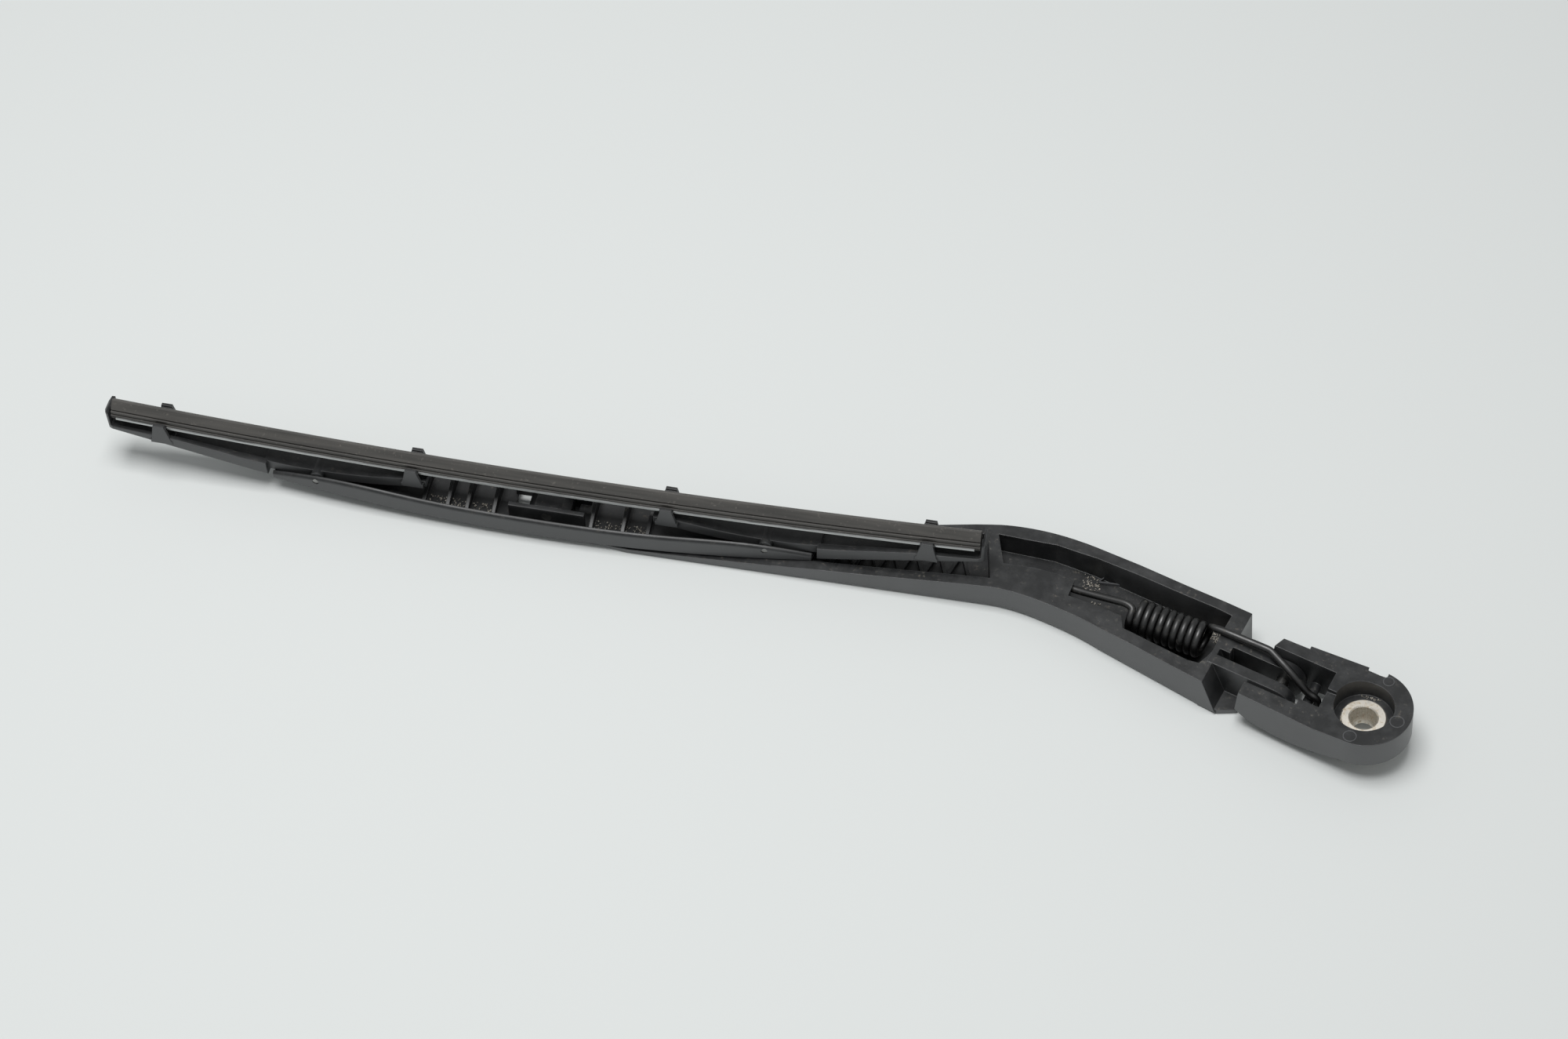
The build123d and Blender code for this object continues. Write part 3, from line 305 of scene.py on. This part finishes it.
def loft(shape, loops):
    """Skin over closed loops of points, with both ends closed."""
    rings = [[shape.verts.new(point) for point in loop] for loop in loops]
    skin_over(shape, rings)
    shape.faces.new(reversed(rings[0]))
    shape.faces.new(rings[-1])


# Blade: bow of the rubber, its section and the two rails
BLADE_MID = -328.5
BLADE_Y = 44.4
RAIL_H = 21.05
BOW_RADIUS = 2617.0
RUBBER_HALF = 176.7
RAIL_HALF = 174.5
RAIL_OUT = 4.5
RAIL_IN = 2.1
RAIL_THICK = 0.9
LIP = 6.5
STRIP_STEPS = 72
# Half of the rubber's section: base, groove for the rail, two beads, then the lip
HALF_SECTION = [
    (0.0, -1.5), (3.0, -1.5), (3.4, -1.1), (3.4, -RAIL_THICK / 2),
    (RAIL_IN, -RAIL_THICK / 2), (RAIL_IN, RAIL_THICK / 2), (3.9, RAIL_THICK / 2), (3.9, 1.1),
    (2.4, 1.3), (2.4, 1.6), (3.5, 1.75), (3.5, 2.8), (0.9, 3.0), (0.9, 3.4), (2.9, 3.55), (1.1, 5.7),
    (0.45, LIP), (0.0, LIP),
]
RUBBER_SECTION = HALF_SECTION + [(-y, h) for y, h in reversed(HALF_SECTION[1:-1])]


def bow_point(u, y, h):
    """Point at the place u along the bowed blade, h above its rails."""
    turn = u / BOW_RADIUS
    reach = BOW_RADIUS - h
    return plan(
        BLADE_MID + reach * math.sin(turn), BLADE_Y + y, RAIL_H + BOW_RADIUS - reach * math.cos(turn)
    )


def bowed_strip(name, section, half, side, material, node):
    """One half of a strip, from the blade's middle to its end."""
    places = [side * half * i / STRIP_STEPS for i in range(STRIP_STEPS + 1)]
    loops = [[bow_point(u, y, h) for y, h in section] for u in places]
    piece = mesh_piece(name, lambda shape: loft(shape, loops), material)
    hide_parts(node)
    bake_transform(piece)
    return piece


def rail_section(side):
    """Section of one rail."""
    low, high = side * RAIL_IN, side * RAIL_OUT
    return [(low, -RAIL_THICK / 2), (high, -RAIL_THICK / 2), (high, RAIL_THICK / 2), (low, RAIL_THICK / 2)]


for end, side, yoke in (("outer", -1, "outer_yoke"), ("inner", 1, "inner_yoke")):
    half = bowed_strip(f"rubber_{end}_half", RUBBER_SECTION, RUBBER_HALF, side, rubber, "squeegee")
    for hand, across in (("near", -1), ("far", 1)):
        strip = bowed_strip(
            f"rail_{hand}_{end}_half", rail_section(across), RAIL_HALF, side, rail_steel, f"rail_{hand}"
        )

# Spring: one wire from the front hook through the closed coil to the rear hook
WIRE = 3.0
COIL_RING = 6.0
COIL_END = 9.86
COIL_START = math.radians(102)
COIL_PITCH = 3.02
COIL_FRONT = (-97.2, 2.6, 10.4)
COIL_LEAN = (0.03, 0.07)
POINTS_A_TURN = 18
# Along the head, across it and up
FRONT_HOOK = [
    (-129.2, 2.4, 4.4), (-129.2, 2.4, 7.2), (-128.9, 2.4, 9.9), (-125.6, 2.4, 10.1), (-120.5, 2.4, 10.3),
]
FRONT_LEG = [(-113.0, 2.4, 12.2), (-103.5, 2.4, 14.9), (-99.2, 2.4, 16.2)]
REAR_LEG = [
    (-61.0, 7.8, 17.9), (-52.0, 7.6, 18.5), (-43.5, 7.4, 19.2), (-41.0, 7.2, 19.4), (-39.6, 6.6, 19.3),
]
REAR_HOOK = [
    (-31.0, 3.0, 18.0), (-24.0, 1.4, 13.6), (-21.6, 1.2, 11.9), (-18.4, 1.2, 11.2), (-17.3, 1.2, 9.8),
    (-17.3, 1.2, 5.6),
]


def coil_point(turn):
    """Middle of the wire after this many turns of the coil."""
    angle = COIL_START + 2 * math.pi * turn
    reach = (turn + 0.5) * COIL_PITCH
    return (
        COIL_FRONT[0] + reach,
        COIL_FRONT[1] + reach * COIL_LEAN[0] + COIL_RING * math.cos(angle),
        COIL_FRONT[2] + reach * COIL_LEAN[1] + COIL_RING * math.sin(angle),
    )


def wire_piece(name, route, material):
    """Round wire along a smooth line through the route."""
    curve = bpy.data.curves.new(name, "CURVE")
    curve.dimensions = "3D"
    curve.bevel_depth = WIRE / 2 * MM
    curve.bevel_resolution = 4
    curve.resolution_u = 3
    curve.use_fill_caps = True
    line = curve.splines.new("NURBS")
    line.points.add(len(route) - 1)
    for knot, spot in zip(line.points, route):
        knot.co = (*head_point(*spot), 1.0)
    line.order_u = 3
    line.use_endpoint_u = True
    mesh = plain_mesh(name, show(name + "_line", curve))
    mesh.materials.clear()
    mesh.materials.append(material)
    for face in mesh.polygons:
        face.use_smooth = True
    return show(name, mesh)


coil_route = [coil_point(i / POINTS_A_TURN) for i in range(int(COIL_END * POINTS_A_TURN) + 1)]
spring = wire_piece("spring_wire", FRONT_HOOK + FRONT_LEG + coil_route + REAR_LEG + REAR_HOOK, spring_steel)
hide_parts("tension_spring")
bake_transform(spring)

# Bush with its serrated taper
BUSH_RADIUS = 8.7
BUSH_HEIGHT = 9.0
BORE_RADIUS = 4.1
BORE_LENGTH = 2.2
MOUTH_RADIUS = 5.2
TEETH = 44
TOOTH = 0.22


def bush_shape(shape):
    """Turned profile, with teeth along the taper."""
    steps = TEETH * 4
    profile = [
        (BORE_RADIUS, 0.0, 0.0), (BUSH_RADIUS, 0.0, 0.0), (BUSH_RADIUS, BUSH_HEIGHT - 0.5, 0.0),
        (BUSH_RADIUS - 0.5, BUSH_HEIGHT, 0.0), (MOUTH_RADIUS + 0.5, BUSH_HEIGHT, 0.0),
        (MOUTH_RADIUS, BUSH_HEIGHT - 0.4, 0.3), (BORE_RADIUS + 0.35, BORE_LENGTH + 1.2, 1.0),
        (BORE_RADIUS, BORE_LENGTH, 0.0),
    ]
    rings = []
    for radius, height, toothed in profile:
        ring = []
        for i in range(steps):
            angle = 2 * math.pi * i / steps
            reach = radius + (toothed * TOOTH if i % 4 in (0, 1) else 0.0)
            ring.append(shape.verts.new(boss_point(reach * math.cos(angle), reach * math.sin(angle), height)))
        rings.append(ring)
    skin_over(shape, rings + rings[:1])


bush = mesh_piece("serrated_bush", bush_shape, bush_metal)
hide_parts("spindle_bush")
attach(bush, "head")


# Loose sand lying in the hollows, scattered over small patches
def grit_tree():
    """Node tree that scatters grains over a patch."""
    tree = bpy.data.node_groups.new("scatter_grit", "GeometryNodeTree")
    sockets = {}
    for name, kind, direction in (
        ("Geometry", "NodeSocketGeometry", "INPUT"), ("Density", "NodeSocketFloat", "INPUT"),
        ("Grain", "NodeSocketFloat", "INPUT"), ("Seed", "NodeSocketInt", "INPUT"),
        ("Geometry", "NodeSocketGeometry", "OUTPUT"),
    ):
        socket = tree.interface.new_socket(name, in_out=direction, socket_type=kind)
        if direction == "INPUT":
            sockets[name] = socket.identifier
    source = add(tree, "NodeGroupInput")
    share = add(tree, "GeometryNodeInputNamedAttribute", {"Name": "share"}, data_type="FLOAT")
    density = add(
        tree, MATH, {0: source.outputs["Density"], 1: share.outputs[0]}, operation="MULTIPLY"
    )
    points = add(
        tree, "GeometryNodeDistributePointsOnFaces",
        {"Mesh": source.outputs["Geometry"], "Density": density.outputs[0], "Seed": source.outputs["Seed"]},
    )
    ball = add(tree, "GeometryNodeMeshIcoSphere", {"Radius": source.outputs["Grain"], "Subdivisions": 1})
    size = add(tree, "FunctionNodeRandomValue", {"Seed": source.outputs["Seed"]}, data_type="FLOAT_VECTOR")
    size.inputs[0].default_value = (0.3, 0.3, 0.2)
    size.inputs[1].default_value = (1.3, 1.0, 0.7)
    turn = add(tree, "FunctionNodeRandomValue", {"Seed": source.outputs["Seed"]}, data_type="FLOAT_VECTOR")
    turn.inputs[1].default_value = (6.3, 6.3, 6.3)
    grains = add(
        tree, "GeometryNodeInstanceOnPoints",
        {
            "Points": points.outputs["Points"], "Instance": ball.outputs["Mesh"], "Scale": size.outputs[0],
            "Rotation": turn.outputs[0],
        },
    )
    solid = add(tree, "GeometryNodeRealizeInstances", {"Geometry": grains.outputs[0]})
    painted = add(tree, "GeometryNodeSetMaterial", {"Geometry": solid.outputs[0], "Material": grit})
    add(tree, "NodeGroupOutput", {"Geometry": painted.outputs[0]})
    return tree, sockets


GRIT_TREE, GRIT_SOCKETS = grit_tree()
SQUARE_MM_IN_METRE = 1e6


def scatter(name, patches, density, grain, seed, body):
    """Grains over one body's patches: density is their number in a square millimetre, grain their radius."""

    def build(shape):
        share = shape.faces.layers.float.new("share")
        for amount, corners in patches:
            face = shape.faces.new([shape.verts.new(corner) for corner in corners])
            face[share] = amount

    patch = mesh_piece(name + "_patch", build, grit)
    modifier = patch.modifiers.new("grit", "NODES")
    modifier.node_group = GRIT_TREE
    modifier[GRIT_SOCKETS["Density"]] = density * SQUARE_MM_IN_METRE
    modifier[GRIT_SOCKETS["Grain"]] = grain * MM
    modifier[GRIT_SOCKETS["Seed"]] = seed
    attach(show(name, plain_mesh(name, patch)), body)


TROUGH_FLOOR = 2.6
FRAME_FLOOR = 5.0
FRAME_RISE = 0.00036
LEDGE = 8.5
# Behind the spring's hook, in the pocket beside it, by the coil and at the trough's end
TROUGH_PATCHES = [
    (1.6, [(-104, 47), (-104, 53), (-111, 55), (-111, 47)]),
    (0.9, [(-103, 37), (-103, 42), (-110, 43), (-110, 38)]),
    (0.7, [(-63, 36), (-63, 39), (-86, 47), (-86, 44)]),
    (2.6, [(-54.5, 31), (-54, 35), (-61, 38), (-62, 32)]),
]
LEDGE_PATCH = [(-6, 9.0), (3, 9.3), (3, 10.8), (-5, 10.0)]
BAY_SIDES = (-8, -2)
FRAME_BAYS = [(-46, -39), (-37, -31), (-29, -20), (22, 33), (35, 43)]


def frame_floor(u, y):
    """Point on the floor inside the blade's frame."""
    return plan(BLADE_MID + u, BLADE_Y + y, FRAME_FLOOR + FRAME_RISE * u * u)


trough_sand = [(share, [plan(x, y, TROUGH_FLOOR) for x, y in outline]) for share, outline in TROUGH_PATCHES]
ledge_sand = [(1.0, [boss_point(a, b, LEDGE) for a, b in LEDGE_PATCH])]
near, far = BAY_SIDES
frame_sand = [
    (1.0, [frame_floor(low, near), frame_floor(high, near), frame_floor(high, far), frame_floor(low, far)])
    for low, high in FRAME_BAYS
]
scatter("sand_in_trough", trough_sand, 1.0, 0.42, 3, "arm")
scatter("sand_on_ledge", ledge_sand, 2.4, 0.35, 7, "head")
scatter("sand_in_frame", frame_sand, 0.8, 0.42, 20, "blade")


def ridge(name, points, width, height, body):
    """Low moulded ridge along a line of points, standing across the up direction."""

    def build(shape):
        for start, end in zip(points, points[1:]):
            side = (end - start).cross(UP).normalized() * width / 2 * MM
            rise = UP * height * MM
            corners = [start - side, start + side, start + side + rise, start - side + rise]
            loft(shape, [corners, [corner + end - start for corner in corners]])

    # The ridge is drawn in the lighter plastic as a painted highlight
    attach(mesh_piece(name, build, ridge_highlight_plastic), body)


GUSSET = [(-105, 51.2), (-102.6, 54.2), (-94.0, 51.6), (-105, 51.2)]
ridge("gusset_outline", [plan(x, y, TROUGH_FLOOR - 0.4) for x, y in GUSSET], 0.5, 1.6, "arm")


# Three plain rings that the ejector pins left on the boss's face
RING_STEPS = 48
RING_SECTION = [(-0.2, -0.1), (0.2, -0.1), (0.2, 0.1), (-0.2, 0.1)]


def ring_mark(name, a, b, radius):
    """Thin raised ring on the boss's face."""

    def build(shape):
        rings = []
        for i in range(RING_STEPS):
            angle = 2 * math.pi * i / RING_STEPS
            ring = []
            for reach, height in RING_SECTION:
                x = a + (radius + reach) * math.cos(angle)
                y = b + (radius + reach) * math.sin(angle)
                ring.append(shape.verts.new(boss_point(x, y, BOSS_FACE + height)))
            rings.append(ring)
        skin_over(shape, rings + rings[:1])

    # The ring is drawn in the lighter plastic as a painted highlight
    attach(mesh_piece(name, build, ridge_highlight_plastic), "head")


ring_mark("ring_mark_1", 0.35, -14.9, 2.4)
ring_mark("ring_mark_2", 13.6, -1.6, 2.6)
ring_mark("ring_mark_3", 3.9, 14.6, 2.0)

# Pale floor, soft studio light and the camera at the photograph's place
FLOOR_REACH = 6.0
FLOOR_CORNERS = ((-1, -1), (1, -1), (1, 1), (-1, 1))
floor_corners = [(x * FLOOR_REACH, y * FLOOR_REACH, REST * MM) for x, y in FLOOR_CORNERS]
floor_mesh = bpy.data.meshes.new("floor")
floor_mesh.from_pydata(floor_corners, [], [(0, 1, 2, 3)])
floor = show("floor", floor_mesh)
floor_paint, floor_tree = new_material("pale_table_paint")
floor_skin = add(floor_tree, PRINCIPLED, {"Base Color": srgb("#d9dcdb"), "Roughness": 0.75})
add(floor_tree, "ShaderNodeOutputMaterial", {"Surface": floor_skin.outputs[0]})
floor_mesh.materials.append(floor_paint)

world = bpy.data.worlds.new("studio")
bpy.context.scene.world = world
world.use_nodes = True
world.node_tree.nodes["Background"].inputs["Color"].default_value = srgb("#f3f5f5")
world.node_tree.nodes["Background"].inputs["Strength"].default_value = 0.38


def soft_box(name, spot, target, size, power):
    """Square soft light."""
    lamp = bpy.data.lights.new(name, "AREA")
    lamp.size = size
    lamp.energy = power
    shown = show(name, lamp)
    shown.location = spot
    shown.rotation_euler = (Vector(target) - Vector(spot)).to_track_quat("-Z", "Y").to_euler()


soft_box("overhead_light", spot=(-0.45, 0.0, 1.7), target=(-0.25, 0.0, 0.0), size=0.9, power=23.5)

camera_data = bpy.data.cameras.new("camera")
camera_data.lens = 64.8
camera_data.sensor_width = 36.0
camera_data.clip_start = 0.01
camera = show("camera", camera_data)
camera.location = Vector((-106.24, -611.10, 903.58)) * MM
camera.rotation_euler = (math.radians(37.0), 0.0, math.radians(10.87))
bpy.context.scene.camera = camera
bpy.context.scene.view_settings.view_transform = "Standard"
